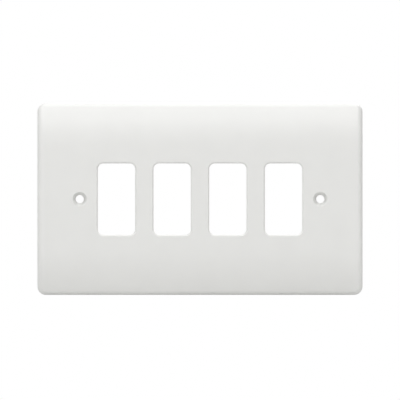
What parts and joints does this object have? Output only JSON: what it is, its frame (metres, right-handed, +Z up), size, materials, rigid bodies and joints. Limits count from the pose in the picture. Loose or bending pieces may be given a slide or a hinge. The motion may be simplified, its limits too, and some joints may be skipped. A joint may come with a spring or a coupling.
{
  "type": "grid switch plate",
  "caption": "Moulded wall plate with a flat front band rolling back at top and bottom, a row of apertures for grid switch modules and a countersunk screw hole at each end.",
  "frame": {"origin": "centre of the rear rim's plane, which lies on the wall", "axes": "+X to the right as seen from the front, +Y back into the wall, +Z up"},
  "size_m": [0.146, 0.0095, 0.086],
  "materials": {
    "white_moulding": "gloss"
  },
  "bodies": {
    "root": {"front_plate": "white_moulding"}
  },
  "joints": []
}
